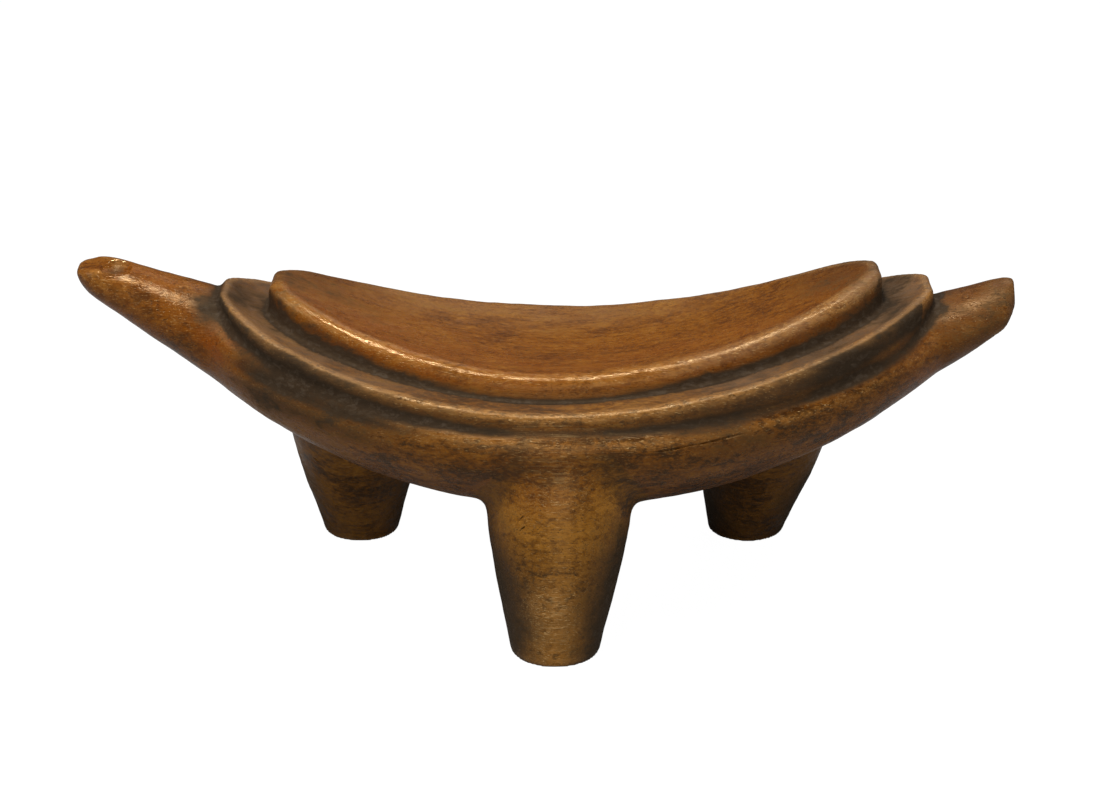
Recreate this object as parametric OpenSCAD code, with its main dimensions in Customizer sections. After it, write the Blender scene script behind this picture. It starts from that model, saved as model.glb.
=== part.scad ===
// Three-legged neck rest, carved from one block of wood.
// X runs along the rest from the left horn to the right horn, Y from the
// front leg to the two rear legs, and Z is up. The origin is on the ground,
// under the middle of the rest.

/* [Seat] */
// Height of the head plate's rim above the ground at its lowest point
seat_height = 127.4; // [105:0.2:155]
// Place of that lowest point along the length
low_x = 5; // [-10:1:20]

/* [Head plate] */
// Distance from the origin to the left end of the head plate
plate_left = 128; // [105:1:155]
// Distance from the origin to the right end of the head plate
plate_right = 154; // [125:1:185]
// Width of the head plate
plate_width = 99; // [80:1:120]
// Height of the head plate's wall at its lowest point
plate_wall = 10.4; // [8:0.2:14]
// Radius of the curve along the head plate's rim, to the left of its lowest point
plate_curve_left = 276; // [230:1:340]
// The same to the right of it
plate_curve_right = 300; // [250:1:360]
// Radius of the worn edge round the head plate
plate_edge = 4.2; // [2:0.2:6]
// Depth of the hollow across the head plate
plate_dish = 2.6; // [0:0.2:4]

/* [Lower tier] */
// Ledge that the lower tier leaves at the left end of the head plate
ledge_left = 24; // [16:1:32]
// Ledge at the right end of the head plate
ledge_right = 24; // [16:1:32]
// Ledge along each side of the head plate
ledge_side = 15.5; // [10:0.5:22]
// Height of the lower tier at its lowest point, down to its bed in the hull
tier_height = 13.5; // [11:0.5:17]
// Radius of the curve along the top of the lower tier, to the left of its lowest point
tier_curve_left = 345; // [320:1:400]
// The same to the right of it
tier_curve_right = 380; // [345:1:450]
// Radius of the curve along the bed of the lower tier
bed_curve = 455; // [400:5:540]
// Radius of the worn edge round the lower tier
tier_edge = 3.8; // [2:0.2:5]

/* [Hull] */
// Swell of the hull past each side of the lower tier
hull_swell = 3; // [1.5:0.5:8]
// Clearance under the belly of the hull
belly_height = 52; // [42:0.5:63]

/* [Horns] */
// Length of the left horn
left_horn_length = 61.5; // [45:0.5:75]
// Length of the right horn
right_horn_length = 35.5; // [28:0.5:50]
// Width of the horns where they leave the hull
horn_width = 42; // [34:1:50]
// Depth of the left horn there
left_horn_depth = 45; // [38:0.5:54]
// Depth of the right horn there
right_horn_depth = 37; // [31:0.5:44]
// Width of the left horn near its tip
left_tip_width = 18; // [14:1:24]
// Width of the right horn near its tip
right_tip_width = 25; // [18:1:30]
// Slope of the top of the left horn
left_horn_slope = 0.31; // [0.26:0.01:0.4]
// Slope of the top of the right horn
right_horn_slope = 0.28; // [0.2:0.01:0.34]
// Slope of the underside of the left horn
left_keel_slope = 0.76; // [0.6:0.01:0.8]
// Slope of the underside of the right horn
right_keel_slope = 0.62; // [0.5:0.01:0.7]

/* [Legs] */
// Diameter of the front foot
front_foot = 40.6; // [33:0.2:50]
// Diameter of the rear feet
rear_foot = 37; // [30:0.2:46]
// Diameter of the front leg where it meets the widest part of the hull
front_root = 74; // [60:1:90]
// Diameter of the rear legs there
rear_root = 70; // [58:1:85]
// Distance of the front foot's middle in front of the origin
front_reach = 65; // [54:0.5:80]
// Distance of the rear feet's middles behind the origin
rear_reach = 67; // [55:0.5:82]
// Distance of the left rear foot's middle from the origin along the length
rear_left_x = 95; // [78:1:114]
// Distance of the right rear foot's middle from the origin along the length
rear_right_x = 101; // [84:1:122]
// Radius of the worn edge round each foot
foot_edge = 2.5; // [1:0.5:5]

/* [Hidden] */

// Spacing of the sections along the rest
grid = 6;
// Sections closer than this to an end give way to the end's own ones
end_room = 4;
// Extra sections near the rounded ends of the plate and the tier
end_steps = [0, 1.2, 3];
// Middle of the widest stretch of every outline
wide_x = -8;
// Place of the lowest point of the underside
keel_x = 11;
// How sharply the underside turns up towards the horns
keel_power = 2.1;
// Outward lean of the walls of the plate and the tier
wall_flare = 1.5;
// Length of hull left past the ends of the tier before a horn starts
horn_gap = 4;
// Share of the belly's height at which the hull is widest, at the middle
shoulder = 0.8;
// Depth of the hull's crown below the top of the tier at the middle
crown_sink = 6;
// The same at the ends of the tier
crown_sink_left = 4;
crown_sink_right = 10.5;
// Length of the rounding at the tips of the horns
tip_round = 9;
// Place of the front foot along the rest, and how far each leg leans along it
front_x = 3.6;
front_lean = 2.9;
rear_left_lean = 3;
rear_right_lean = 6;
// Depth of the hull's side over the root of a leg
front_cover = 3.5;
rear_cover = 6;

tier_top = seat_height - plate_wall;
bed_top = tier_top - tier_height;
tier_left = plate_left + ledge_left;
tier_right = plate_right + ledge_right;
tier_width = plate_width + 2 * ledge_side;
hull_left = tier_left + horn_gap;
hull_right = tier_right + horn_gap;
hull_width = tier_width + 2 * (wall_flare + hull_swell);
left_reach = hull_left + left_horn_length;
right_reach = hull_right + right_horn_length;

// Rise of an arc of radius r at the distance dx from its lowest point
function rise(dx, r) = r - sqrt(r * r - dx * dx);

// Height at x of a surface that is curved along X and straight along Y.
// It is straight between the sections too, so that the pieces above and
// below it meet face to face.
function arc_z(x, low, curves) =
    low + rise(x - low_x, x < low_x ? curves[0] : curves[1]);
function saddle(x, low, curves) =
    let (a = floor(x / grid) * grid, t = (x - a) / grid)
    (1 - t) * arc_z(a, low, curves) + t * arc_z(a + grid, low, curves);

function tier_z(x) = saddle(x, tier_top, [tier_curve_left, tier_curve_right]);
function bed_z(x) = saddle(x, bed_top, [bed_curve, bed_curve]);
function rim_z(x) = saddle(x, seat_height, [plate_curve_left, plate_curve_right]);

// Sections from one end of a piece to the other
function sections(from, to) =
    [for (i = [ceil(from / grid) : floor(to / grid)])
        if (i * grid > from + end_room && i * grid < to - end_room) i * grid];
function plain_sections(from, to) = concat([from], sections(from, to), [to]);
function round_sections(from, to) = concat(
    [for (s = end_steps) from + s],
    sections(from, to),
    [for (i = [len(end_steps) - 1 : -1 : 0]) to - end_steps[i]]);

// Share of the way from the widest place to an end, 0 to 1
function along(x, left, right) =
    x < wide_x ? (wide_x - x) / (left + wide_x) : (x - wide_x) / (right - wide_x);

// Half width of a leaf-shaped outline; blunt is under 0.5 for a blunt end
function leaf(x, left, right, width, blunt) =
    let (t = min(along(x, left, right), 0.998))
    width / 2 * pow(1 - t * t, blunt);

// Drop of a rounded edge of radius r at the distance d inside it
function edge_drop(d, r) = d >= r ? 0 : r - sqrt(r * r - pow(r - d, 2));

// Section of a low-walled plate at x, from its bottom corner at the rear
// over the top to its bottom corner at the front
function plate_section(x, ends, half, low, high, edge, dish) =
    let (
        e = min(edge, 0.45 * half, 0.45 * (high - low)),
        top = high - edge_drop(min(x + ends[0], ends[1] - x), e),
        arc = [for (a = [0 : 30 : 90]) [half - e * (1 - cos(a)), top - e * (1 - sin(a))]],
        hollow = [for (s = [0.75 : -0.25 : -0.75])
            [s * (half - e), top - dish * (1 - s * s)]]
    )
    concat(
        [[x, half + wall_flare, low]],
        [for (p = arc) [x, p[0], p[1]]],
        [for (p = hollow) [x, p[0], p[1]]],
        [for (i = [len(arc) - 1 : -1 : 0]) [x, -arc[i][0], arc[i][1]]],
        [[x, -half - wall_flare, low]]
    );

// Closed skin over a row of sections that all have the same number of points
module loft(rows) {
    n = len(rows[0]);
    last = len(rows) - 1;
    polyhedron(
        points = [for (row = rows) for (p = row) p],
        faces = concat(
            [[for (i = [0 : n - 1]) i]],
            [for (k = [0 : last - 1]) for (i = [0 : n - 1]) for (half = [0, 1])
                let (a = k * n + i, b = k * n + (i + 1) % n)
                half == 0 ? [a, a + n, b] : [b, a + n, b + n]],
            [[for (i = [n - 1 : -1 : 0]) last * n + i]]
        ),
        convexity = 6
    );
}

// Width and rounding of the horns towards their tips
function tip_width(x) = x < 0 ? left_tip_width : right_tip_width;
function tip_room(x) = x < 0 ? x + left_reach : right_reach - x;
function horn_half(x) =
    let (
        d = tip_room(x),
        full = x < 0 ? left_reach - hull_left : right_reach - hull_right,
        plain = tip_width(x) / 2 + (horn_width - tip_width(x)) / 2 * min(d / full, 1)
    )
    plain * (1 - 0.45 * pow(1 - min(d / tip_round, 1), 2));

// How much of the section belongs to the broad hull, 1 at its widest to 0
function breadth(x) =
    max(0, 1 - pow(along(x, hull_left, hull_right), 2));

function hull_half(x) =
    let (belly = pow(hull_width / 2, 2) - pow(horn_width / 2, 2))
    sqrt(pow(horn_half(x), 2) + belly * pow(breadth(x), 1.2));

// Underside: a curve that steepens as far as the horns, then runs on straight
function keel_z(x) =
    let (
        left = x < keel_x,
        full = left ? keel_x + hull_left : hull_right - keel_x,
        root_z = left ? crown_z(-hull_left) - left_horn_depth
                      : crown_z(hull_right) - right_horn_depth,
        slope = left ? left_keel_slope : right_keel_slope,
        d = abs(x - keel_x)
    )
    belly_height + (root_z - belly_height) * pow(min(d / full, 1), keel_power)
        + slope * max(d - full, 0);

// Crown line: under the tier as far as its ends, then the top of the horns
function crown_z(x) =
    let (
        left = x < low_x,
        end = left ? -tier_left : tier_right,
        sink = left ? crown_sink_left : crown_sink_right,
        slope = left ? left_horn_slope : right_horn_slope,
        end_z = tier_z(end) - sink,
        mid_z = tier_top - crown_sink,
        t = (x - low_x) / (end - low_x)
    )
    t < 1 ? mid_z + (end_z - mid_z) * t * t
          : end_z + slope * (abs(x - end) - edge_drop(tip_room(x), 2 * tip_round));

// Height at which a section is widest
function widest_z(x) =
    let (low = keel_z(x), high = crown_z(x))
    low + (high - low) * (0.5 + (shoulder - 0.5) * breadth(x));

// Points round one section of the hull or of a horn
section_points = 32;
function hull_section(x) =
    let (
        w = hull_half(x),
        low = keel_z(x) + edge_drop(tip_room(x), tip_round) * 0.6,
        high = crown_z(x),
        mid = widest_z(x),
        square = 2 + 2 * breadth(x)
    )
    [for (i = [0 : section_points - 1])
        let (
            a = 360 * i / section_points,
            s = abs(sin(a)),
            c = abs(cos(a)),
            n = sin(a) > 0 ? square : 2,
            g = pow(pow(c, n) + pow(s, n), -1 / n)
        )
        [x, w * cos(a) * g, mid + (sin(a) > 0 ? high - mid : mid - low) * sin(a) * g]];

module hull_loft(from, to) {
    loft([for (x = plain_sections(from, to)) hull_section(x)]);
}

// Middle of the root of a leg, inside the hull's side at x
function leg_root(x, side, width, cover) =
    [x, side * (hull_half(x) - width / 2 - cover), widest_z(x)];

// Tapering round leg that leans from its foot to its root inside the hull
leg_points = 28;
leg_steps = 12;
function leg_ring(foot, root, foot_r, root_r, z) =
    let (
        t = z / root[2],
        m = [for (i = [0, 1]) foot[i] + (root[i] - foot[i]) * t],
        r = foot_r + (root_r - foot_r) * sin(90 * t) - edge_drop(z, foot_edge)
    )
    [for (i = [0 : leg_points - 1])
        let (a = 360 * i / leg_points)
        [m[0] + r * cos(a), m[1] + r * sin(a), z]];

module leg(foot, root, foot_r, root_r) {
    heights = concat([0, foot_edge / 3, foot_edge],
        [for (k = [1 : leg_steps]) root[2] * k / leg_steps]);
    loft([for (z = heights) leg_ring(foot, root, foot_r, root_r, z)]);
}

module head_plate() {
    color("#a5622a")
    loft([for (x = round_sections(-plate_left, plate_right))
        let (half = leaf(x, plate_left, plate_right, plate_width, 0.38))
        plate_section(x, [plate_left, plate_right], half, tier_z(x), rim_z(x),
            plate_edge, plate_dish * pow(2 * half / plate_width, 3))]);
}

module lower_tier() {
    color("#8c5424")
    loft([for (x = round_sections(-tier_left, tier_right))
        plate_section(x, [tier_left, tier_right],
            leaf(x, tier_left, tier_right, tier_width, 0.5),
            bed_z(x), tier_z(x), tier_edge, 0)]);
}

module hull() {
    color("#7c4a20")
    difference() {
        hull_loft(-hull_left, hull_right);
        lower_tier();
    }
}

module left_horn() {
    color("#94581f")
    hull_loft(-left_reach, -hull_left);
}

module right_horn() {
    color("#8f5420")
    hull_loft(hull_right, right_reach);
}

module front_leg() {
    color("#7a4a22")
    difference() {
        leg([front_x, -front_reach],
            leg_root(front_x + front_lean, -1, front_root, front_cover),
            front_foot / 2, front_root / 2);
        hull_loft(-hull_left, hull_right);
    }
}

module rear_left_leg() {
    color("#5e381b")
    difference() {
        leg([-rear_left_x, rear_reach],
            leg_root(rear_left_lean - rear_left_x, 1, rear_root, rear_cover),
            rear_foot / 2, rear_root / 2);
        hull_loft(-hull_left, hull_right);
    }
}

module rear_right_leg() {
    color("#5e381b")
    difference() {
        leg([rear_right_x, rear_reach],
            leg_root(rear_right_x + rear_right_lean, 1, rear_root, rear_cover),
            rear_foot / 2, rear_root / 2);
        hull_loft(-hull_left, hull_right);
    }
}

head_plate();
lower_tier();
hull();
left_horn();
right_horn();
front_leg();
rear_left_leg();
rear_right_leg();
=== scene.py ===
"""Three-legged neck rest, carved from one block of hardwood and dark with handling.

The hull with its horns, the legs, the tier and the head plate are roughed out
as separate blanks, grown together, creased and eased where they meet, and then
parted along the divisions of the frame. Lengths are in metres unless a comment
says otherwise: X runs along the rest, Y from front to rear.
"""

import math
import random

import bmesh
import bpy
import numpy as np
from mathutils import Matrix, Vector
from mathutils.bvhtree import BVHTree
from mathutils.kdtree import KDTree


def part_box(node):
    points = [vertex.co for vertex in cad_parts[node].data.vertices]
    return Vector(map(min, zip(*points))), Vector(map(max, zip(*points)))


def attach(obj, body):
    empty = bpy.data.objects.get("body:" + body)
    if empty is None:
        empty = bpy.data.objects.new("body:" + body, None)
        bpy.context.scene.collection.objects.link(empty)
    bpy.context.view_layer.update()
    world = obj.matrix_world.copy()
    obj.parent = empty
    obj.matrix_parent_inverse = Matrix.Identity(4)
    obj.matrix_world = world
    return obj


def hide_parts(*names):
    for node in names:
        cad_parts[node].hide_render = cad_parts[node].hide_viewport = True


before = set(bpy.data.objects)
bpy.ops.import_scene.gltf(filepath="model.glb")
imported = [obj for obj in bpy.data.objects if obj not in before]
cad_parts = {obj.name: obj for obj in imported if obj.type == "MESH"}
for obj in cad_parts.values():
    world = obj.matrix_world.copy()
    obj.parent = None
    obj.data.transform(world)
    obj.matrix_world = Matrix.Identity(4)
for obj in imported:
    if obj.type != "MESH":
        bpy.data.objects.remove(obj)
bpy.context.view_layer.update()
MM = 0.001


# ---------------------------------------------------------------- sizes

plate_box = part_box("head_plate")
tier_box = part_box("lower_tier")
hull_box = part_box("hull")
left_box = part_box("left_horn")
right_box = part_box("right_horn")

smoothed_off = 2 * MM        # smoothing takes this much off the slabs' ends
plate_left = smoothed_off - plate_box[0].x
plate_right = plate_box[1].x + smoothed_off
tier_left = smoothed_off - tier_box[0].x
tier_right = tier_box[1].x + smoothed_off
hull_left = -hull_box[0].x
hull_right = hull_box[1].x
left_reach = -left_box[0].x
right_reach = right_box[1].x
hull_width = hull_box[1].y - hull_box[0].y
belly_height = hull_box[0].z

low_x = 5 * MM               # lowest place of the seat's curve
wide_x = -8 * MM             # middle of the widest stretch
keel_x = 11 * MM             # lowest place of the underside
wall_flare = 1.5 * MM
plate_width = plate_box[1].y - plate_box[0].y - 2 * wall_flare
tier_width = tier_box[1].y - tier_box[0].y - 2 * wall_flare

seat_height = 129.3 * MM
plate_wall = 12.3 * MM
tier_height = 13.5 * MM
tier_top = seat_height - plate_wall
bed_top = tier_top - tier_height
plate_edge = 6.5 * MM
tier_edge = 4.2 * MM
plate_dish = 2.6 * MM
ledge_hollow = 0.9 * MM

# radii of the arcs on each side of the lowest place: left, then right
seat_curve = (276 * MM, 300 * MM)
ledge_curve = (345 * MM, 380 * MM)
bed_curve = (455 * MM, 455 * MM)

# how the outlines narrow: a power, and how blunt the ends are
plate_leaf = (1.6, 0.43)
tier_leaf = (2, 0.48)

rim_levelling = 2.4 * MM     # the plate's rim levels off by this much
levelling_run = 30 * MM      # over this much of each end
curl_rise = 1.8 * MM         # the tier's left end curls up by this much
curl_start = 125 * MM        # from here on
curl_run = 27 * MM

# ends: -1 is the left horn, 1 the right one and 0 the middle of the hull
horn_width = 42 * MM
horn_depth = {-1: 45 * MM, 1: 37 * MM}
tip_width = {-1: 18 * MM, 1: 25 * MM}
horn_slope = {-1: 0.31, 1: 0.28}
keel_slope = {-1: 0.74, 1: 0.62}
crown_sink = {-1: 4 * MM, 0: 6 * MM, 1: 10.5 * MM}
tip_round = {-1: 9 * MM, 1: 6 * MM}
tip_lift = {-1: 0.3 * MM, 1: 1.3 * MM}

# Each leg in millimetres: the place of its foot, of its root inside the hull,
# and its radii at both
LEGS = {
    "front_leg": (Vector((3.6, -65, 0)), Vector((6.5, -29, 99)), 20.3, 37.0),
    "rear_left_leg": (Vector((-95, 67, 0)), Vector((-92, 15.5, 110)), 18.5, 35.0),
    "rear_right_leg": (Vector((101, 67, 0)), Vector((107, 14, 107)), 18.5, 35.0),
}

fine_grain = 1.15 * MM       # spacing of the carved surface's points
grain_size = fine_grain


def rise(dx, radius):
    """Rise of an arc at the distance dx from its lowest point."""
    return radius - math.sqrt(radius * radius - dx * dx)


def arc_height(x, low, curve):
    return low + rise(x - low_x, curve[0] if x < low_x else curve[1])


def rim_height(x):
    """The plate's edge, which levels off a little towards both ends."""
    room = plate_left + x if x < 0 else plate_right - x
    levelled = rim_levelling * max(1 - room / levelling_run, 0) ** 2
    return arc_height(x, seat_height, seat_curve) - levelled


def tier_surface(x):
    """The tier's top, which curls up a little towards the left end."""
    curl = curl_rise * min(max((-x - curl_start) / curl_run, 0), 1) ** 2
    return arc_height(x, tier_top, ledge_curve) + curl


def bed_height(x):
    """Where the tier's foot lies on the hull."""
    return arc_height(x, bed_top, bed_curve)


def along(x, left, right):
    """Share of the way from the widest place to an end."""
    if x < wide_x:
        return (wide_x - x) / (left + wide_x)
    return (x - wide_x) / (right - wide_x)


def leaf(x, left, right, width, shape):
    """Half width of a leaf-shaped outline."""
    power, blunt = shape
    t = min(abs(along(x, left, right)), 0.998)
    return width / 2 * (1 - t ** power) ** blunt


def plate_half(x):
    return leaf(x, plate_left, plate_right, plate_width, plate_leaf)


def tier_half(x):
    return leaf(x, tier_left, tier_right, tier_width, tier_leaf)


def edge_drop(inside, radius):
    """Drop of a rounded edge at a distance inside the outline."""
    if inside >= radius:
        return 0.0
    return radius - math.sqrt(radius * radius - (radius - max(inside, 0)) ** 2)


def crown_height(x):
    """Under the tier as far as its ends, then the top of a horn."""
    side = -1 if x < low_x else 1
    end = -tier_left if side < 0 else tier_right
    end_z = tier_surface(end) - crown_sink[side]
    middle_z = tier_top - crown_sink[0]
    t = (x - low_x) / (end - low_x)
    if t < 1:
        return middle_z + (end_z - middle_z) * t * t
    reach = left_reach if side < 0 else right_reach
    room = reach - abs(x)
    run = abs(x - end) - edge_drop(room, 2 * tip_round[side])
    return end_z + horn_slope[side] * run + tip_lift[side] * (run / (reach - abs(end))) ** 2


def keel_height(x):
    """The underside steepens as far as the horns, then runs on straight."""
    side = -1 if x < keel_x else 1
    full = keel_x + hull_left if side < 0 else hull_right - keel_x
    root = crown_height(-hull_left if side < 0 else hull_right) - horn_depth[side]
    distance = abs(x - keel_x)
    turn = belly_height + (root - belly_height) * min(distance / full, 1) ** 2.1
    return turn + keel_slope[side] * max(distance - full, 0)


def horn_half(x):
    side = -1 if x < 0 else 1
    room = left_reach + x if side < 0 else right_reach - x
    full = left_reach - hull_left if side < 0 else right_reach - hull_right
    plain = tip_width[side] / 2 + (horn_width - tip_width[side]) / 2 * min(room / full, 1)
    return plain * (1 - 0.45 * (1 - min(room / tip_round[side], 1)) ** 2)


def breadth(x):
    """1 where the section is a broad hull, 0 along the horns."""
    return max(0.0, 1 - along(x, hull_left, hull_right) ** 2)


def hull_half(x):
    """Half width of the hull, which runs on into the horns."""
    belly = (hull_width / 2) ** 2 - (horn_width / 2) ** 2
    return math.sqrt(horn_half(x) ** 2 + belly * breadth(x) ** 1.2)


# ---------------------------------------------------------------- bench work

def nothing_selected():
    if bpy.context.mode != "OBJECT":
        bpy.ops.object.mode_set(mode="OBJECT")
    bpy.ops.object.select_all(action="DESELECT")


def only(*pieces):
    nothing_selected()
    for piece in pieces:
        piece.select_set(True)
    bpy.context.view_layer.objects.active = pieces[0]
    return pieces[0]


def apply_modifier(piece, kind, **settings):
    """Adds a modifier, sets it and applies it."""
    only(piece)
    tool = piece.modifiers.new(kind.title(), kind)
    for name, value in settings.items():
        setattr(tool, name, value)
    bpy.ops.object.modifier_apply(modifier=tool.name)


def bar(name, rings):
    """A closed bar drawn out ring by ring: a disc is extruded along and each
    new end is brought to the shape of its ring."""
    nothing_selected()
    bpy.ops.mesh.primitive_circle_add(vertices=len(rings[0]), radius=MM, fill_type="NGON")
    piece = bpy.context.object
    piece.name = name
    place = piece.data.attributes.new("place", "INT", "POINT")
    place.data.foreach_set("value", range(len(rings[0])))
    bpy.ops.object.mode_set(mode="EDIT")
    bpy.ops.mesh.select_all(action="SELECT")
    for number, ring in enumerate(rings):
        if number:
            bpy.ops.mesh.extrude_region_move()
        end = bmesh.from_edit_mesh(piece.data)
        layer = end.verts.layers.int["place"]
        for vertex in end.verts:
            if vertex.select:
                vertex.co = ring[vertex[layer]]
        bmesh.update_edit_mesh(piece.data)
    bpy.ops.mesh.select_all(action="SELECT")
    bpy.ops.mesh.normals_make_consistent(inside=False)
    bpy.ops.object.mode_set(mode="OBJECT")
    piece.data.attributes.remove(piece.data.attributes["place"])
    return piece


def slab(name, left, right, half, top, flare, foot):
    """A leaf-shaped slab: a sheet is brought to the outline and the top's curve,
    then drawn down to the foot in steps that lean out more and more."""
    columns, rows = 150, 56
    middle = (right - left) / 2
    nothing_selected()
    bpy.ops.mesh.primitive_grid_add(x_subdivisions=columns, y_subdivisions=rows, size=2)
    piece = bpy.context.object
    piece.name = name
    bpy.ops.object.mode_set(mode="EDIT")
    sheet = bmesh.from_edit_mesh(piece.data)
    for vertex in sheet.verts:
        lengthwise = math.sin(math.pi / 2 * vertex.co.x)
        across = math.sin(math.pi / 2 * vertex.co.y)
        x = middle + (right + left) / 2 * lengthwise
        vertex.co = Vector((x, across * half(x), 0))
    outline = point_tree([v.co.copy() for v in sheet.verts if v.is_boundary])
    for vertex in sheet.verts:
        inside = outline.find(vertex.co)[2]
        vertex.co.z = top(vertex.co.x, vertex.co.y, inside)
    bmesh.update_edit_mesh(piece.data)
    bpy.ops.mesh.select_all(action="SELECT")
    leant = 0.0
    for share, lean in ((0.45, 0.10), (0.75, 0.35), (0.90, 0.65), (1.0, 1.0)):
        bpy.ops.mesh.extrude_region_move()
        sheet = bmesh.from_edit_mesh(piece.data)
        for vertex in sheet.verts:
            if vertex.select:
                x, y = vertex.co.x, vertex.co.y
                vertex.co.z = top(x, y, 1) * (1 - share) + foot(x) * share
        bmesh.update_edit_mesh(piece.data)
        added = flare * (lean - leant)
        leant = lean
        bpy.ops.transform.resize(
            value=(1 + 2 * added / (right + left), 1 + added / half(wide_x), 1),
            center_override=(middle, 0, 0))
    bpy.ops.mesh.select_all(action="SELECT")
    bpy.ops.mesh.normals_make_consistent(inside=False)
    bpy.ops.object.mode_set(mode="OBJECT")
    return piece


def carve(piece, passes):
    """Evens out the surface and takes the sharpness off its edges."""
    apply_modifier(piece, "REMESH", mode="VOXEL", voxel_size=grain_size, adaptivity=0.0)
    apply_modifier(piece, "SMOOTH", factor=0.5, iterations=passes)


def tool_marks(piece, size, depth, seed):
    """Shallow facets and waves that a hand tool leaves."""
    waves = bpy.data.textures.new(piece.name + "_waves", "CLOUDS")
    waves.noise_scale = size
    waves.noise_depth = 1
    shift = bpy.data.objects.new("shift", None)
    bpy.context.scene.collection.objects.link(shift)
    shift.location = (seed * 0.37, seed * 0.11, seed * 0.23)
    bpy.context.view_layer.update()
    apply_modifier(piece, "DISPLACE", texture=waves, texture_coords="OBJECT",
                   texture_coords_object=shift, strength=depth, mid_level=0.5)
    bpy.data.objects.remove(shift)
    bpy.data.textures.remove(waves)


def tree_of(*pieces):
    """A search tree over the surfaces of some pieces."""
    points, faces = [], []
    for piece in pieces:
        start = len(points)
        points += [v.co.copy() for v in piece.data.vertices]
        faces += [[start + i for i in f.vertices] for f in piece.data.polygons]
    return BVHTree.FromPolygons(points, faces)


def point_tree(points):
    """A search tree over places, which finds their numbers in the list."""
    tree = KDTree(len(points))
    for number, point in enumerate(points):
        tree.insert(point, number)
    tree.balance()
    return tree


def weigh(piece, name, weights):
    """A vertex group that holds these weights."""
    group = piece.vertex_groups.new(name=name)
    for number, weight in enumerate(weights):
        if weight > 0.01:
            group.add([number], min(weight, 1.0), "REPLACE")
    return group.name


# ---------------------------------------------------------------- blanks

def hull_ring(x):
    """A section across the hull: round along the horns, squarer above its widest
    line where the hull is broad."""
    points = 48
    half, low, high = hull_half(x), keel_height(x), crown_height(x)
    room = left_reach + x if x < 0 else right_reach - x
    low += edge_drop(room, tip_round[-1 if x < 0 else 1]) * 0.6
    broad = breadth(x)
    widest = 0.5 + 0.3 * broad
    middle = low + (high - low) * widest
    ring = []
    for i in range(points):
        angle = 2 * math.pi * i / points
        across, upward = math.cos(angle), math.sin(angle)
        power = 2 + 2 * broad if upward > 0 else 2
        reach = (abs(across) ** power + abs(upward) ** power) ** (-1 / power)
        tall = high - middle if upward > 0 else middle - low
        ring.append(Vector((x, half * across * reach, middle + tall * upward * reach)))
    return ring


def hull_blank(name):
    """The hull and both horns, with sections closer together at the tips."""
    near_tip = [0, 0.8 * MM, 2.4 * MM, 5 * MM]
    spacing = 4 * MM
    stations = [-left_reach + depth for depth in near_tip]
    x = -left_reach + 2 * spacing
    while x < right_reach - 2 * spacing:
        stations.append(x)
        x += spacing
    stations += [right_reach - depth for depth in reversed(near_tip)]
    return bar(name, [hull_ring(x) for x in stations])


def leg_blank(name, extra=0.0, spread=0.0):
    """A leg that leans and swells from its foot to its root in the hull. The
    extra is added all over, and the spread on top of it towards the root.
    Worked in millimetres, like LEGS."""
    points, steps = 40, 14
    foot_rim, rim_edge, below = 0.35, 0.9, 0.4
    foot, root, foot_radius, root_radius = LEGS[name]
    turns = [2 * math.pi * i / points for i in range(points)]
    heights = [-below, 0.6, 2, 5] + [10 + (root.z - 10) * k / steps for k in range(steps + 1)]
    rings = []
    for z in heights:
        t = max(z, 0) / root.z
        middle = foot.lerp(root, t)
        radius = foot_radius + (root_radius - foot_radius) * math.sin(math.pi / 2 * t)
        radius += extra + spread * t
        radius += foot_rim * math.exp(-max(z, 0) / 3) - edge_drop(z + below, rim_edge)
        rings.append([
            Vector((middle.x + radius * math.cos(a), middle.y + radius * math.sin(a), z)) * MM
            for a in turns])
    return bar(name, rings)


# ---------------------------------------------------------------- tier and plate

def plate_rim():
    """The plate's outline, for measuring distances on the ledge round it."""
    points = 400
    rim = []
    for i in range(points):
        angle = 2 * math.pi * i / points
        x = (plate_right - plate_left) / 2 + (plate_right + plate_left) / 2 * math.cos(angle)
        half = plate_half(x) if abs(math.cos(angle)) < 0.9999 else 0
        rim.append(Vector((x, math.copysign(half, math.sin(angle)), 0)))
    return point_tree(rim)


plate_outline = plate_rim()


def inside_plate(x, y):
    return -plate_left < x < plate_right and abs(y) < plate_half(x)


def tier_skin(x, y, inside):
    """Top of the tier: flat under the plate, hollowed a little along the ledge."""
    z = tier_surface(x) - edge_drop(inside, tier_edge)
    if not inside_plate(x, y):
        gap = plate_outline.find(Vector((x, y, 0)))[2]
        z -= ledge_hollow * math.sin(math.pi * gap / (gap + inside + 1e-6)) ** 2
    return z


def plate_skin(x, y, inside):
    """Top of the plate: dished, and rounded over at its rim."""
    half = plate_half(x)
    sideways = min(abs(y) / half, 1)
    dish = plate_dish * (2 * half / plate_width) ** 3 * (1 - sideways ** 2)
    return rim_height(x) - dish - edge_drop(inside, plate_edge)


def tier_blank(name, grow=0.0, top=tier_skin, foot=bed_height):
    return slab(name, tier_left - wall_flare + grow, tier_right - wall_flare + grow,
                lambda x: tier_half(x) + grow, top, wall_flare, foot)


def plate_blank(name, grow=0.0, top=plate_skin, foot=tier_surface):
    return slab(name, plate_left - wall_flare + grow, plate_right - wall_flare + grow,
                lambda x: plate_half(x) + grow, top, wall_flare, foot)


# ---------------------------------------------------------------- body

hull_core = hull_blank("hull_core")
leg_cores = [leg_blank(name) for name in LEGS]
tier_core = tier_blank("tier_core")
plate_core = plate_blank("plate_core")
hull_tree = tree_of(hull_core)
leg_tree = tree_of(*leg_cores)
tier_tree = tree_of(tier_core)
plate_tree = tree_of(plate_core)


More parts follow.
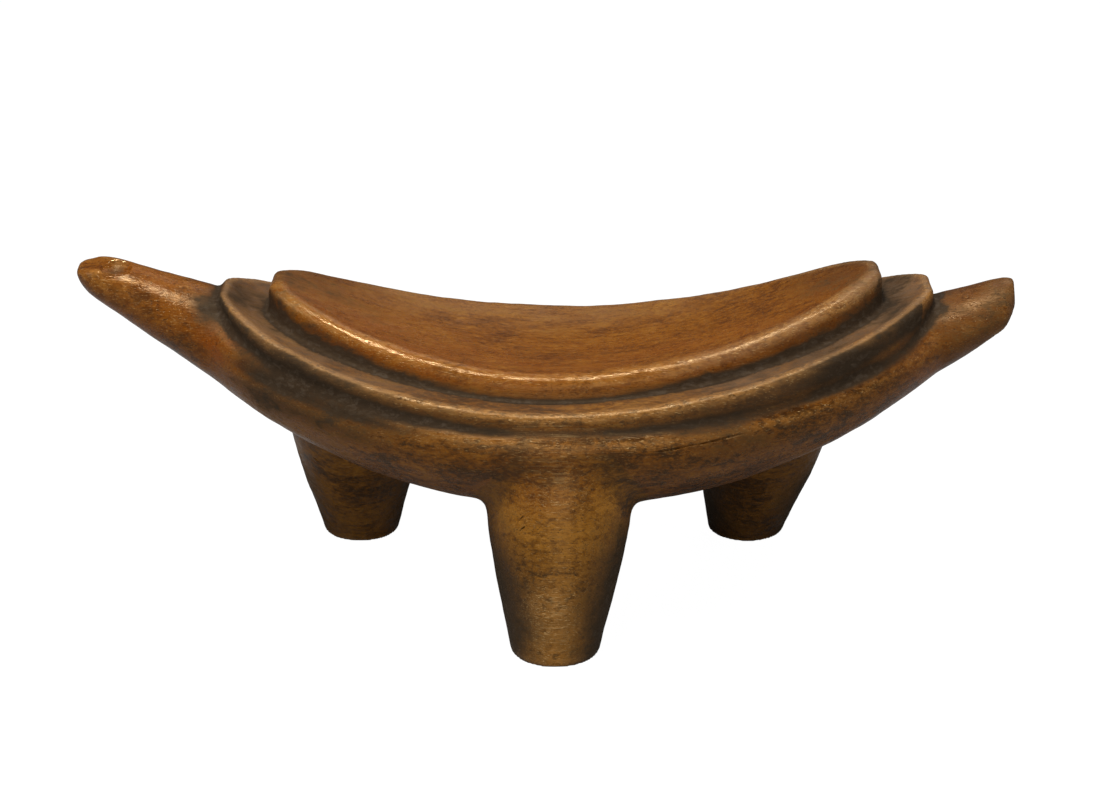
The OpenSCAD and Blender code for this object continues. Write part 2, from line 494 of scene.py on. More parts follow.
def slice_end(piece, place, way):
    """Cuts an end off square to a direction and closes the cut."""
    only(piece)
    bpy.ops.object.mode_set(mode="EDIT")
    bpy.ops.mesh.select_all(action="SELECT")
    bpy.ops.mesh.bisect(plane_co=place, plane_no=way, use_fill=True, clear_outer=True)
    bpy.ops.object.mode_set(mode="OBJECT")


# the shorter horn's end is cut in three faces, the longer one's in one
slice_end(hull_core, (right_reach - 0.2 * MM, 0, 153 * MM), (1, -0.12, 0.10))
slice_end(hull_core, (right_reach, 0, 149.5 * MM), (0.90, 0, -0.42))
slice_end(hull_core, (right_reach - 6 * MM, 0, 137.5 * MM), (0.66, 0, -0.75))
slice_end(hull_core, (-206 * MM, 0, 166.6 * MM), (-0.16, -0.10, 1))

body = only(hull_core, *leg_cores, tier_core, plate_core)
bpy.ops.object.join()
body.name = "body"
carve(body, passes=3)


def near(value, full, none):
    """1 below full, 0 above none, and even between them."""
    t = (none - value) / (none - full)
    t = min(max(t, 0.0), 1.0)
    return t * t * (3 - 2 * t)


def ease(name, one, other, full, none, passes):
    """Rounds the inside corner where one blank grows out of another."""
    weights = []
    for vertex in body.data.vertices:
        first = one.find_nearest(vertex.co, none)[3]
        second = other.find_nearest(vertex.co, none)[3] if first is not None else None
        far = second is None
        weights.append(0.0 if far else near(max(first, second), full, none))
    group = weigh(body, name, weights)
    rounds = max(2, int(passes * (fine_grain / grain_size) ** 2))
    apply_modifier(body, "SMOOTH", factor=0.5, iterations=rounds, vertex_group=group)
    body.vertex_groups.clear()


def crease(one, other, reach):
    """How close each point lies to the line where two blanks meet, from 1 to 0."""
    closeness = np.zeros(len(body.data.vertices))
    for vertex in body.data.vertices:
        first = one.find_nearest(vertex.co, 3 * reach)[3]
        second = other.find_nearest(vertex.co, 3 * reach)[3] if first is not None else None
        if second is not None:
            closeness[vertex.index] = math.exp(-(max(first, second) / reach) ** 2)
    return closeness


def groove(closeness, depth):
    """Sinks the surface along a crease."""
    for vertex, close, way in zip(body.data.vertices, closeness, normals(body)):
        if close > 0:
            vertex.co -= Vector(way) * depth(vertex.co.x) * close


def recess_depth(x):
    """The recess under the tier is deeper towards the horns."""
    outward = near(-abs(x), -120 * MM, -40 * MM)
    return (0.5 + 1.1 * outward * near(abs(x), 135 * MM, 165 * MM)) * MM


def level_feet():
    """Sets the undersides of the feet flat on the ground."""
    for vertex in body.data.vertices:
        if vertex.co.z < 0.25 * MM:
            vertex.co.z = 0.0


def coordinates(piece):
    points = np.empty(len(piece.data.vertices) * 3)
    piece.data.vertices.foreach_get("co", points)
    return points.reshape(-1, 3)


def normals(piece):
    values = np.empty(len(piece.data.vertices) * 3)
    piece.data.vertices.foreach_get("normal", values)
    return values.reshape(-1, 3)


groove(crease(tier_tree, hull_tree, 3.0 * MM), recess_depth)
plate_foot = crease(plate_tree, tier_tree, 1.3 * MM)
tier_foot = crease(tier_tree, hull_tree, 2.0 * MM)
groove(plate_foot, lambda x: 0.6 * MM)
ease("under_tier", tier_tree, hull_tree, full=2.5 * MM, none=6 * MM, passes=14)
ease("round_plate", plate_tree, tier_tree, full=1.2 * MM, none=3 * MM, passes=3)
ease("leg_roots", leg_tree, hull_tree, full=5 * MM, none=12 * MM, passes=90)
tool_marks(body, size=34 * MM, depth=1.1 * MM, seed=3)
tool_marks(body, size=9 * MM, depth=0.35 * MM, seed=8)
level_feet()


# ---------------------------------------------------------------- surface state

def spread_evenly(values, edges, rounds):
    """Averages a value over neighbouring points."""
    count = np.bincount(edges.ravel(), minlength=len(values)) + 1.0
    for _ in range(rounds):
        total = values.copy()
        np.add.at(total, edges[:, 0], values[edges[:, 1]])
        np.add.at(total, edges[:, 1], values[edges[:, 0]])
        values = total / count
    return values


def edges_of(piece):
    edges = np.empty(len(piece.data.edges) * 2, dtype=np.int64)
    piece.data.edges.foreach_get("vertices", edges)
    return edges.reshape(-1, 2)


def bulge(piece):
    """How far the surface stands proud of its surroundings, in millimetres."""
    points, edges = coordinates(piece), edges_of(piece)
    rounds = int(round(14 * (fine_grain / grain_size) ** 2))
    flat = np.stack([spread_evenly(points[:, i], edges, rounds) for i in range(3)], 1)
    proud = ((points - flat) * normals(piece)).sum(1) / MM
    return spread_evenly(proud, edges, 2)


def shelter(piece, surroundings, samples, seed):
    """Share of the sky that each point doesn't see within a short reach."""
    dice = random.Random(seed)
    reach = 26 * MM
    lift = 0.8 * MM
    directions = 20
    neighbours = 4
    points, ways = coordinates(piece), normals(piece)
    chosen = dice.sample(range(len(points)), min(samples, len(points)))
    values = np.empty(len(chosen))
    rays = []
    for _ in range(directions):
        z = dice.uniform(-1, 1)
        turn = dice.uniform(0, 2 * math.pi)
        level = math.sqrt(1 - z * z)
        rays.append(Vector((level * math.cos(turn), level * math.sin(turn), z)))
    for number, index in enumerate(chosen):
        up = Vector(ways[index])
        start = Vector(points[index]) + up * lift
        blocked = 0.0
        for ray in rays:
            way = (up * 1.05 + ray).normalized()
            hit = surroundings.ray_cast(start, way, reach)
            if hit[0] is not None:
                blocked += 1 - 0.7 * hit[3] / reach
        values[number] = blocked / len(rays)
    found = point_tree([Vector(points[index]) for index in chosen])
    result = np.empty(len(points))
    for index, point in enumerate(points):
        total = weight = 0.0
        for _, number, distance in found.find_n(Vector(point), neighbours):
            closeness = 1 / (distance + 0.5 * MM)
            total += closeness * values[number]
            weight += closeness
        result[index] = total / weight
    return result


proud = bulge(body)
samples = 20000
hidden = shelter(body, tree_of(body), samples, seed=40)


def write_state(piece, **layers):
    """Keeps each layer's values on the points, where the finish reads them."""
    for name, values in layers.items():
        layer = piece.data.attributes.new(name, "FLOAT", "POINT")
        layer.data.foreach_set("value", np.clip(values, 0, 1).astype(np.float32))


def patches(points, places):
    """Soft patches, each round its place and round its mirror place at the rear."""
    total = np.zeros(len(points))
    for (x, y, z), size, strength in places:
        spread = 0
        for side in (-1, 1):
            offset = (points - np.array((x, side * y, z)) * MM) / (np.array(size) * MM)
            spread = np.maximum(spread, np.exp(-(offset ** 2).sum(1)))
        total += strength * spread
    return total


def step(values, low, high):
    """0 below low, 1 above high, and even between them."""
    t = np.clip((values - low) / (high - low), 0, 1)
    return t * t * (3 - 2 * t)


def each(points, rule):
    """A rule of the place along the rest, taken at every point."""
    stations = np.linspace(-left_reach, right_reach, 200)
    return np.interp(points[:, 0], stations, [rule(x) for x in stations])


# Patches in millimetres: the middle of each, its size, and how strong it is
GRIME_PATCHES = (
    ((-128, 42, 122), (28, 22, 13), 0.54),
    ((-92, 60, 110), (38, 24, 12), 0.38),
    ((140, 40, 128), (28, 22, 13), 0.48),
    ((85, 60, 103), (34, 22, 13), 0.28),
    ((-155, 12, 148), (10, 16, 9), 0.65),
    ((166, 18, 146), (13, 18, 10), 0.45),
    ((3, 72, 86), (24, 20, 24), -0.35),
)
WARM_PATCHES = (
    ((-151, 25, 131), (17, 18, 13), 1.0),
    ((-195, 0, 150), (34, 30, 24), 0.80),
    ((2, 74, 88), (24, 16, 18), 0.45),
    ((168, 18, 122), (22, 24, 16), 0.5),
    ((196, 10, 140), (24, 24, 20), 0.45),
)
PALE_PATCHES = (
    ((1, 86, 22), (13, 16, 18), 0.8),
    ((4, 74, 86), (17, 16, 20), 0.30),
    ((0, 70, 108), (60, 14, 5), 0.30),
)
FILM_PATCHES = (((185, 8, 148), (30, 24, 14), 0.15),)
PALE_RIM_PATCHES = (((128, 13, 155), (32, 15, 12), 0.9),)


def settle():
    """Wear on what stands proud, grime in what is sheltered, painted shade on what faces down
    and on the legs' sides, a dull film where hands don't reach with a painted sheen over the
    seat's far half, and a warm tone where hands do. Places are in millimetres."""
    points, ways = coordinates(body), normals(body)
    x, y, z = points.T / MM
    left_tip, right_tip = left_reach / MM, right_reach / MM
    tops = each(points, tier_surface) / MM
    away = np.abs(x)
    outward = step(away, 20, 120)
    middle = 1 - step(away, 15, 85)
    under = np.clip(-ways[:, 2], 0, 1)
    upward = step(ways[:, 2], 0.6, 0.95)
    on_plate = step(z, tops + 3, tops + 6)
    on_tier = (1 - on_plate) * step(z, tops - 14, tops - 9) * (away < 172)
    on_tier_wall = on_tier * (1 - upward)
    on_ledge = upward * step(z, tops - 3, tops - 1) * (1 - on_plate)
    on_leg = 1 - step(z, 28, 84)
    at_left_tip = step(-x, left_tip - 14, left_tip - 4)
    at_right_tip = step(x, right_tip - 10, right_tip - 3)

    worn = np.clip(proud * 1.6, 0, 1)
    worn *= 1 - 0.55 * np.maximum(at_left_tip, at_right_tip)

    hollow = np.clip(-proud * 1.2, 0, 1)
    grime = 0.82 * np.clip(2.6 * (hidden - 0.06), 0, 1) + 0.55 * hollow
    grime *= 1 - 0.65 * middle * step(z, tops - 5, tops - 1) - 0.45 * on_ledge * (1 - middle)
    grime += 0.85 * plate_foot + 0.35 * tier_foot
    # painted shade: darker where the surface faces down
    grime += 0.11 * under
    # darker on the tier's walls than on its top, more towards the ends
    grime += on_tier_wall * (0.18 + 0.22 * outward)
    # painted shade: the lower legs darken towards the sides that face along the rest, and a
    # little all over; the left rear leg gets much less of it, the right rear leg a little less
    grime += on_leg * (0.70 * np.abs(ways[:, 0]) ** 1.4 + 0.15)
    grime -= on_leg * (0.05 * step(x, 50, 80) + 0.30 * step(-x, 50, 80))
    # the seat darkens towards its ends, more on its far half
    grime += 0.42 * on_plate * step(np.abs(x - 12), 75, 150) * step(y, -30, 30)
    grime += on_plate * (0.16 * step(-x, 40, 120) + 0.20 * step(x, 80, 140))
    grime += 0.32 * step(x, 172, 190)
    grime += patches(points, GRIME_PATCHES)

    film = on_ledge * (0.25 + 0.55 * step(away, 40, 100))
    # painted sheen: a grey film over the top of the seat's far half, for the pale reflection a
    # grazing view gives there
    film += 0.45 * on_plate * step(y, 0, 42) * upward * (1 - step(away, 50, 120))
    film += 0.80 * on_plate * worn * step(x, 30, 80)
    film += 0.20 * on_tier_wall * outward
    film += patches(points, FILM_PATCHES)

    warm = on_plate * step(-y, -30, 35) * (0.45 + 0.30 * step(-x, -10, 80))
    warm += patches(points, WARM_PATCHES)

    pale = on_plate * step(proud, 0.02, 0.35) * patches(points, PALE_RIM_PATCHES)
    pale += patches(points, PALE_PATCHES)
    write_state(body, worn=worn, grime=grime, film=film, warm=warm, pale=pale)


settle()


# ---------------------------------------------------------------- finish

def colour_ramp(tree, source, stops):
    """Colour ramp over (place, colour) stops."""
    ramp = tree.nodes.new("ShaderNodeValToRGB")
    while len(ramp.color_ramp.elements) < len(stops):
        ramp.color_ramp.elements.new(0.5)
    for element, (place, colour) in zip(ramp.color_ramp.elements, stops):
        element.position = place
        element.color = (*colour, 1)
    tree.links.new(source, ramp.inputs["Fac"])
    return ramp.outputs["Color"]


def mix(tree, share, a, b):
    """Mix of two colours; each part is a socket or a plain value."""
    made = tree.nodes.new("ShaderNodeMix")
    made.data_type = "RGBA"
    for socket, value in ((made.inputs[0], share), (made.inputs[6], a), (made.inputs[7], b)):
        if isinstance(value, bpy.types.NodeSocket):
            tree.links.new(value, socket)
        elif socket.type == "VALUE":
            socket.default_value = value
        else:
            socket.default_value = (*value, 1)
    return made.outputs[2]


def sums(tree, how, a, b, clamp=False):
    """One step of arithmetic on two sockets or plain values."""
    made = tree.nodes.new("ShaderNodeMath")
    made.operation = how
    made.use_clamp = clamp
    for socket, value in zip(made.inputs, (a, b)):
        if isinstance(value, bpy.types.NodeSocket):
            tree.links.new(value, socket)
        else:
            socket.default_value = value
    return made.outputs[0]


def span(tree, value, low, high, to_low=0.0, to_high=1.0):
    """Brings the stretch from low to high evenly to another one."""
    made = tree.nodes.new("ShaderNodeMapRange")
    made.interpolation_type = "SMOOTHSTEP"
    for name, number in (("From Min", low), ("From Max", high),
                         ("To Min", to_low), ("To Max", to_high)):
        made.inputs[name].default_value = number
    tree.links.new(value, made.inputs["Value"])
    return made.outputs["Result"]


def kept(tree, name):
    """A layer of the surface's state, as write_state keeps it."""
    made = tree.nodes.new("ShaderNodeAttribute")
    made.attribute_name = name
    return made.outputs["Fac"]


def noise(tree, stretch, scale, detail=4.0, roughness=0.5, distortion=0.0, shift=(0, 0, 0)):
    """Noise in the block's own coordinates, drawn out along the grain."""
    place = tree.nodes.new("ShaderNodeTexCoord")
    mapping = tree.nodes.new("ShaderNodeMapping")
    mapping.inputs["Scale"].default_value = stretch
    mapping.inputs["Location"].default_value = shift
    tree.links.new(place.outputs["Object"], mapping.inputs["Vector"])
    made = tree.nodes.new("ShaderNodeTexNoise")
    for name, number in (("Scale", scale), ("Detail", detail),
                         ("Roughness", roughness), ("Distortion", distortion)):
        made.inputs[name].default_value = number
    tree.links.new(mapping.outputs["Vector"], made.inputs["Vector"])
    return made.outputs["Fac"]


# Tones laid over the wood: warm handling, rubbed edges, torn fibres, a grey film that also
# paints sheen, and dirt that also paints shade
WARM = (0.180, 0.040, 0.002)
RUBBED = (0.33, 0.150, 0.035)
TORN = (0.55, 0.34, 0.13)
FILM_AND_SHEEN = (0.165, 0.110, 0.068)
GRIME_AND_SHADE = (0.013, 0.009, 0.0065)
DUST = (0.070, 0.056, 0.044)


def grain(tree):
    """The noises that all layers of the finish share, coarsest first."""
    return {
        "broad": noise(tree, (0.6, 1, 1), 24, 3, 0.55, 0.6),
        "clouds": noise(tree, (0.45, 1, 1), 75, 5, 0.62, 0.5, (2, 5, 1)),
        "streaks": noise(tree, (0.07, 1, 1), 330, 5, 0.65, 0.4),
        "mottle": noise(tree, (0.6, 1, 1), 420, 4, 0.7, 0.6, (4, 1, 9)),
        "fibres": noise(tree, (0.045, 1, 1), 1500, 3, 0.7, 0.3, (0.3, 0.1, 0.7)),
        "pores": noise(tree, (0.40, 1, 1), 1900, 2, 0.5, 0.2, (1, 6, 3)),
        "specks": noise(tree, (0.16, 1, 1), 2300, 2, 0.6, 0, (7, 3, 2)),
    }


def blend_of(tree, start, shares):
    """A value with shares of other values added to it."""
    for part, share in shares:
        start = sums(tree, "ADD", start, sums(tree, "MULTIPLY", part, share))
    return start


def bare_wood(tree, noises, dark, mid, light, play):
    """Grain between a dark and a light tone, reddened where hands hold it."""
    clouds = noises["clouds"]
    level = blend_of(tree, sums(tree, "MULTIPLY", noises["broad"], 0.28), (
        (clouds, 0.20), (noises["streaks"], 0.20), (noises["mottle"], 0.34)))
    stops = ((0.51 - play, dark), (0.51, mid), (0.52 + 1.3 * play, light))
    wood = colour_ramp(tree, level, stops)
    warm = sums(tree, "MULTIPLY", kept(tree, "warm"), span(tree, clouds, 0.35, 0.62, 0.35, 1.0))
    wood = mix(tree, sums(tree, "MULTIPLY", warm, 0.92, True), wood, WARM)
    return mix(tree, span(tree, noises["fibres"], 0.50, 0.68, 0.0, 0.30), wood, dark)


def rubbed_wood(tree, noises, wood):
    """Pale rubbed edges with torn fibres; also gives how torn each place is."""
    pale = kept(tree, "pale")
    bared = sums(tree, "ADD", kept(tree, "worn"), pale)
    rub = sums(tree, "MULTIPLY", span(tree, bared, 0.12, 0.85),
               span(tree, noises["mottle"], 0.36, 0.62, 0.25, 1.0))
    wood = mix(tree, sums(tree, "MULTIPLY", rub, 0.62), wood, RUBBED)
    flecks = sums(tree, "MULTIPLY", span(tree, noises["specks"], 0.60, 0.70),
                  span(tree, bared, 0.10, 0.8, 0.20, 0.75))
    hatch = sums(tree, "MULTIPLY", pale, span(tree, noises["fibres"], 0.52, 0.64, 0.0, 0.6))
    torn = sums(tree, "ADD", flecks, hatch, True)
    return mix(tree, torn, wood, TORN), torn


def soiled_and_shaded_wood(tree, noises, wood, film):
    """Film with its painted sheen, ragged grime with its painted shade, and the dust on it;
    also gives how much grime and painted shade each place has.
    """
    wood = mix(tree, sums(tree, "MULTIPLY", film, 0.62), wood, FILM_AND_SHEEN)
    ragged = kept(tree, "grime")
    for name, share in (("clouds", 0.9), ("broad", 0.7), ("mottle", 0.7), ("streaks", 0.4)):
        swing = sums(tree, "SUBTRACT", noises[name], 0.5)
        ragged = blend_of(tree, ragged, ((swing, share),))
    soot_and_shade = span(tree, ragged, 0.10, 0.72, 0.0, 0.95)
    wood = mix(tree, soot_and_shade, wood, GRIME_AND_SHADE)
    dust = sums(tree, "MULTIPLY", span(tree, ragged, 0.50, 1.0),
                span(tree, noises["mottle"], 0.46, 0.66, 0.0, 0.35))
    return mix(tree, dust, wood, DUST), soot_and_shade


def oiled_wood(name, dark, mid, light, dull, play):
    """Old hardwood rubbed glossy by hands, with grime left in its recesses and the painted
    shade and sheen that the surface state holds. It
    runs through three tones: dull is its roughness and play how far they swing."""
    finish = bpy.data.materials.new(name)
    finish.use_nodes = True
    tree = finish.node_tree
    shader = tree.nodes["Principled BSDF"]
    noises = grain(tree)
    film = sums(tree, "MULTIPLY", kept(tree, "film"),
                span(tree, noises["clouds"], 0.30, 0.66, 0.45, 1.0))

    wood = bare_wood(tree, noises, dark, mid, light, play)
    pits = span(tree, noises["pores"], 0.60, 0.68, 0.0, 0.7)
    wood = mix(tree, pits, wood, tuple(part * 0.4 for part in dark))
    wood, torn = rubbed_wood(tree, noises, wood)
    wood, soot_and_shade = soiled_and_shaded_wood(tree, noises, wood, film)
    tree.links.new(wood, shader.inputs["Base Color"])

    roughness = span(tree, noises["streaks"], 0.3, 0.7, dull - 0.05, dull + 0.09)
    roughness = blend_of(tree, roughness, (
        (soot_and_shade, 0.46), (film, 0.30), (kept(tree, "warm"), -0.07)))
    rubbed_smooth = sums(tree, "MULTIPLY", kept(tree, "worn"), 0.18)
    roughness = sums(tree, "SUBTRACT", roughness, rubbed_smooth, True)
    tree.links.new(roughness, shader.inputs["Roughness"])
    shader.inputs["Specular IOR Level"].default_value = 0.44
    shader.inputs["Specular Tint"].default_value = (1.0, 0.69, 0.36, 1)

    relief = blend_of(tree, sums(tree, "MULTIPLY", noises["streaks"], 0.55), (
        (noises["fibres"], 0.30), (noises["mottle"], 0.32), (torn, 0.25), (pits, -0.45)))
    bump = tree.nodes.new("ShaderNodeBump")
    bump.inputs["Strength"].default_value = 0.5
    bump.inputs["Distance"].default_value = 0.7 * MM
    tree.links.new(relief, bump.inputs["Height"])
    tree.links.new(bump.outputs["Normal"], shader.inputs["Normal"])
    return finish


seat_finish = oiled_wood(
    "seat_wood", dark=(0.078, 0.022, 0.002), mid=(0.175, 0.055, 0.003),
    light=(0.29, 0.115, 0.010), dull=0.29, play=0.08)
tier_finish = oiled_wood(
    "tier_wood", dark=(0.034, 0.011, 0.002), mid=(0.115, 0.037, 0.003),
    light=(0.26, 0.105, 0.011), dull=0.44, play=0.065)
body_finish = oiled_wood(
    "body_wood", dark=(0.038, 0.012, 0.002), mid=(0.138, 0.042, 0.002),
    light=(0.26, 0.100, 0.009), dull=0.29, play=0.065)
leg_finish = oiled_wood(
    "leg_wood", dark=(0.036, 0.013, 0.002), mid=(0.125, 0.045, 0.003),
    light=(0.26, 0.106, 0.010), dull=0.38, play=0.06)


# ---------------------------------------------------------------- parting the body

def solid_tool(target, cutter, how):
    apply_modifier(target, "BOOLEAN", object=cutter, operation=how, solver="MANIFOLD")


def copy_of(piece, name):
    only(piece)
    bpy.ops.object.duplicate()
    made = bpy.context.object
    made.name = name
    return made


def cut_off(piece, x, keep_right):
    """Parts a piece across its length at x and closes the cut."""
    only(piece)
    bpy.ops.object.mode_set(mode="EDIT")
    bpy.ops.mesh.select_all(action="SELECT")
    bpy.ops.mesh.bisect(plane_co=(x, 0, 0), plane_no=(1, 0, 0), use_fill=True,
                        clear_inner=keep_right, clear_outer=not keep_right)
    bpy.ops.object.mode_set(mode="OBJECT")


def keep_surface(piece, source, source_tree):
    """Gives the outer skin the shading of the uncut body, so no joint shows."""
    outside = []
    for vertex in piece.data.vertices:
        outside.append(near(source_tree.find_nearest(vertex.co)[3], 0.02 * MM, 0.06 * MM))
    group = weigh(piece, "skin", outside)
    apply_modifier(piece, "DATA_TRANSFER", object=source, use_loop_data=True,
                   data_types_loops={"CUSTOM_NORMAL"}, loop_mapping="POLYINTERP_NEAREST",
                   vertex_group=group)
    piece.vertex_groups.clear()


LAYERS = ("worn", "grime", "film", "warm", "pale")


def share_state(piece, source):
    """Copies wear, grime, film, painted shade and sheen, and tone from the nearest points of
    the uncut body.
    """
    found = point_tree([v.co for v in source.data.vertices])
    near_by = [found.find(v.co) for v in piece.data.vertices]
    nearest = [place[1] for place in near_by]
    cut_deep = np.array([place[2] for place in near_by]) / MM
    for name in LAYERS:
        values = np.empty(len(source.data.vertices), np.float32)
        source.data.attributes[name].data.foreach_get("value", values)
        if name in piece.data.attributes:
            piece.data.attributes.remove(piece.data.attributes[name])
        layer = piece.data.attributes.new(name, "FLOAT", "POINT")
        values = values[nearest]
        if name == "grime":
            # the deeper a cut, the more dirt it holds
            values = np.maximum(values, np.clip(0.15 * cut_deep - 0.2, 0, 0.5))
        layer.data.foreach_set("value", values)


only(body)
bpy.ops.object.shade_smooth()
body_tree = tree_of(body)

plate_room = 1.6 * MM        # by how much each cutter is wider than its piece
tier_room = 0.8 * MM
plate_sink = 0.3 * MM        # the plate is parted this far under the ledge
core_sink = 2.5 * MM         # the legs end this far under the hull's skin
leg_room = 4.0               # in millimetres, like LEGS
clear_height = 0.25          # above the whole rest
clear_depth = 5 * MM         # below the feet


def above(x, y, inside):
    return clear_height


plate_cutter = plate_blank(
    "plate_cutter", plate_room, above, lambda x: tier_surface(x) - plate_sink)
tier_cutter = tier_blank("tier_cutter", tier_room, above)
plate = copy_of(body, "head_plate_carved")
solid_tool(plate, plate_cutter, "INTERSECT")
rest = copy_of(body, "rest")
solid_tool(rest, plate_cutter, "DIFFERENCE")
tier = copy_of(rest, "lower_tier_carved")
solid_tool(tier, tier_cutter, "INTERSECT")
solid_tool(rest, tier_cutter, "DIFFERENCE")

left_horn = copy_of(rest, "left_horn_carved")
cut_off(left_horn, -hull_left, keep_right=False)
right_horn = copy_of(rest, "right_horn_carved")
cut_off(right_horn, hull_right, keep_right=True)
hull = rest
hull.name = "hull_carved"
cut_off(hull, -hull_left, keep_right=True)
cut_off(hull, hull_right, keep_right=False)
pieces = {
    "head_plate": plate,
    "lower_tier": tier,
    "hull": hull,
    "left_horn": left_horn,
    "right_horn": right_horn,
}

core = hull_blank("core")
apply_modifier(core, "DISPLACE", strength=-core_sink, mid_level=0.0)
for name in LEGS:
    cutter = leg_blank(name, extra=leg_room, spread=leg_room)
    for vertex in cutter.data.vertices:
        if vertex.co.z < 1 * MM:
            vertex.co.z = -clear_depth
    solid_tool(cutter, core, "DIFFERENCE")
    leg = copy_of(hull, name + "_carved")
    solid_tool(leg, cutter, "INTERSECT")
    solid_tool(hull, cutter, "DIFFERENCE")
    pieces[name] = leg
    bpy.data.objects.remove(cutter)
for tool in (core, plate_cutter, tier_cutter):
    bpy.data.objects.remove(tool)


def gouge(piece, place, size, turn=(0, 0, 0)):
    """Takes a small chip, hole or scratch out of a piece. The place and the size
    are in millimetres and the turn is in degrees."""
    nothing_selected()
    bpy.ops.mesh.primitive_uv_sphere_add(
        segments=20, ring_count=10, radius=MM, location=Vector(place) * MM,
        rotation=[math.radians(a) for a in turn], scale=size)
    chip = bpy.context.object
    solid_tool(piece, chip, "DIFFERENCE")
    bpy.data.objects.remove(chip)


# Old damage and use marks: where, how large and how turned
MARKS = (
    ("left_horn", (-199.3, -5.6, 166.6), (8.2, 6.8, 4.4), (0, 4, 12)),
    ("lower_tier", (83, -57.2, 123), (2.2, 1.4, 1.5), (0, 15, 10)),
    ("lower_tier", (-88, -61.5, 134), (2.6, 1.2, 1.1), (0, -20, 0)),
    ("hull", (141.4, -41, 127.3), (0.65, 3.5, 0.65), (0, 0, 20)),
    ("hull", (139.1, -42, 126.7), (0.6, 3.5, 0.6), (0, 0, 20)),
    ("hull", (-37.4, -69.3, 105), (3.6, 1.5, 2.2), (0, 10, 0)),
    ("hull", (-52, -68.3, 106), (2.2, 1.3, 1.0), (0, 12, 0)),
    ("right_horn", (189, -16.2, 145.4), (2.8, 1.2, 1.2), (30, 12, 0)),
    ("right_horn", (188.5, -20.0, 136.6), (3.2, 1.0, 1.8), (0, 30, 0)),
    ("hull", (55, -65.6, 100.3), (15.0, 1.0, 0.8), (0, -9, 10)),
    ("hull", (82, -60.8, 104.3), (15.0, 1.0, 0.8), (0, -9, 10)),
    ("front_leg", (-11.8, -72.0, 63.4), (6.0, 0.9, 0.45), (0, -50, 18)),
    ("front_leg", (-13.0, -71.0, 66.4), (4.6, 0.9, 0.40), (0, -58, 22)),
    ("rear_left_leg", (-112.6, 13.2, 60.2), (3.4, 1.6, 1.1), (0, 35, 0)),
    ("head_plate", (-12.8, -5, 125.75), (0.45, 9.0, 0.55), (0, 0, -14)),
    ("head_plate", (64, -13, 131.6), (4.8, 0.5, 0.45), (0, -11, 35)),
    ("head_plate", (20, 14, 125.9), (7.5, 0.45, 0.45), (0, -3, 6)),
)
for name, place, size, turn in MARKS:
    gouge(pieces[name], place, size, turn)

for name, piece in pieces.items():
    share_state(piece, body)
    keep_surface(piece, body, body_tree)
bpy.data.objects.remove(body)

slots = {"head_plate": ("seat_wood", seat_finish), "lower_tier": ("tier_wood", tier_finish)}
for name in LEGS:
    slots[name] = ("leg_wood", leg_finish)
for name, piece in pieces.items():
    slot_name, finish = slots.get(name, ("body_wood", body_finish))
    piece.data.materials.clear()
    piece.data.materials.append(finish)
    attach(piece, "root")
    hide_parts(name)


# ---------------------------------------------------------------- studio

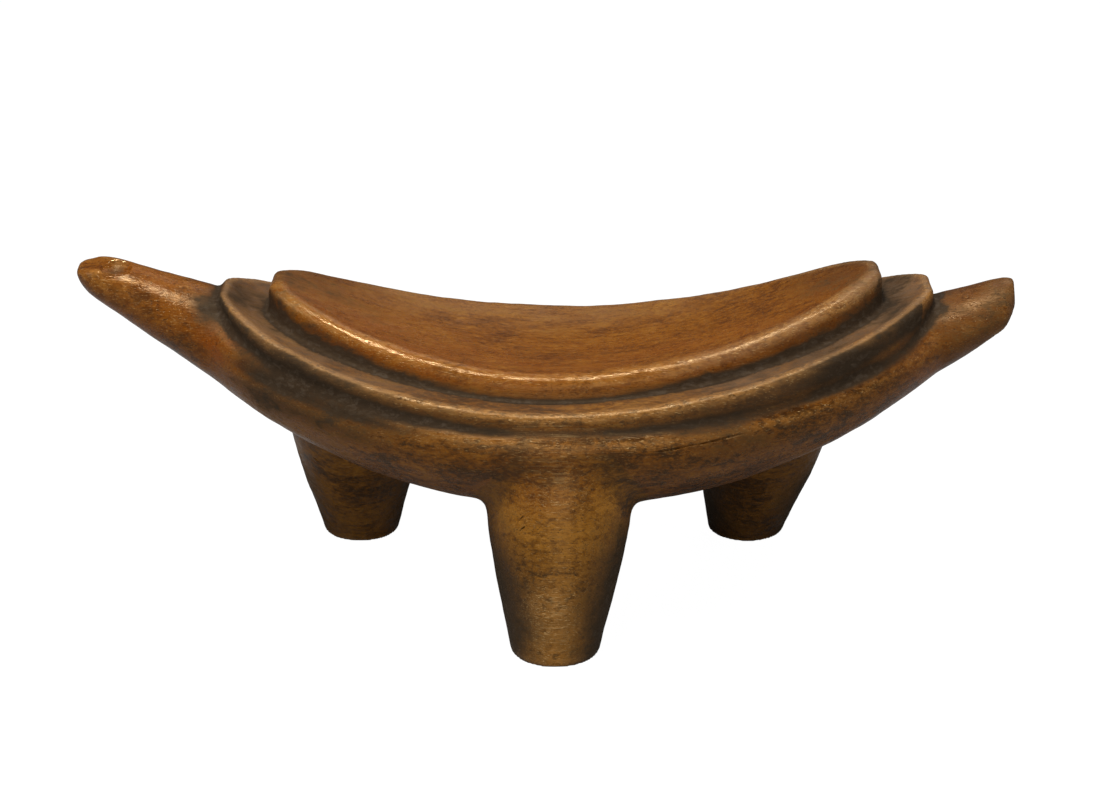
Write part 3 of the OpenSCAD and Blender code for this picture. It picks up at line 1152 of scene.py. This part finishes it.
def floor():
    """Pale paper that the camera sees evenly lit, with a faint shadow."""
    nothing_selected()
    bpy.ops.mesh.primitive_plane_add(size=24, location=(0, 4, 0))
    ground = bpy.context.object
    ground.name = "studio_floor"
    tone, brightness, evenness = 0.30, 1.27, 0.78
    paper = bpy.data.materials.new("studio_paper")
    paper.use_nodes = True
    tree = paper.node_tree
    tree.nodes.clear()
    lit = tree.nodes.new("ShaderNodeBsdfDiffuse")
    lit.inputs["Color"].default_value = (tone, tone, tone, 1)
    glow = tree.nodes.new("ShaderNodeEmission")
    glow.inputs["Color"].default_value = (1, 1, 1, 1)
    glow.inputs["Strength"].default_value = brightness
    path = tree.nodes.new("ShaderNodeLightPath")
    share = sums(tree, "MULTIPLY", path.outputs["Is Camera Ray"], evenness)
    both = tree.nodes.new("ShaderNodeMixShader")
    tree.links.new(share, both.inputs["Fac"])
    tree.links.new(lit.outputs[0], both.inputs[1])
    tree.links.new(glow.outputs[0], both.inputs[2])
    out = tree.nodes.new("ShaderNodeOutputMaterial")
    tree.links.new(both.outputs[0], out.inputs["Surface"])
    ground.data.materials.append(paper)


def soft_light(name, place, target, size, power, tall=None):
    """A soft box that faces a target. It is square unless it is given a height."""
    data = bpy.data.lights.new(name, "AREA")
    data.shape = "RECTANGLE"
    data.size = size
    data.size_y = tall or size
    data.energy = power
    lamp = bpy.data.objects.new(name, data)
    bpy.context.scene.collection.objects.link(lamp)
    lamp.location = place
    lamp.rotation_euler = (Vector(target) - Vector(place)).to_track_quat("-Z", "Y").to_euler()


def studio():
    """Five soft boxes in a dim room, which the camera sees as white."""
    ambient = 0.075
    world = bpy.data.worlds.new("studio")
    world.use_nodes = True
    tree = world.node_tree
    back = tree.nodes["Background"]
    back.inputs["Color"].default_value = (1, 1, 1, 1)
    path = tree.nodes.new("ShaderNodeLightPath")
    seen = sums(tree, "MULTIPLY", path.outputs["Is Camera Ray"], 1 - ambient)
    tree.links.new(sums(tree, "ADD", seen, ambient), back.inputs["Strength"])
    bpy.context.scene.world = world
    floor()
    soft_light("key", (-0.15, -0.40, 1.45), (0, 0, 0.12), 0.15, 22, 0.22)
    soft_light("side", (-1.0, -0.6, 0.9), (0, 0, 0.08), 0.70, 6)
    soft_light("right", (1.2, -0.3, 0.6), (0, 0, 0.08), 0.90, 3.5)
    soft_light("back", (0.5, 0.9, 1.3), (0, 0, 0.10), 0.90, 4)
    soft_light("front", (0.1, -1.7, 0.35), (0, 0, 0.08), 0.9, 6)
    bpy.context.scene.view_settings.view_transform = "Standard"


def camera():
    """Looks a little down on the rest, from straight in front of it."""
    down = math.radians(22.508)
    data = bpy.data.cameras.new("camera")
    data.lens = 85.45
    data.sensor_width = 36
    data.clip_end = 60
    view = bpy.data.objects.new("camera", data)
    bpy.context.scene.collection.objects.link(view)
    view.location = (1.2 * MM, -1141.9 * MM, 573.1 * MM)
    view.rotation_euler = (math.pi / 2 - down, 0, 0)
    bpy.context.scene.camera = view


studio()
camera()
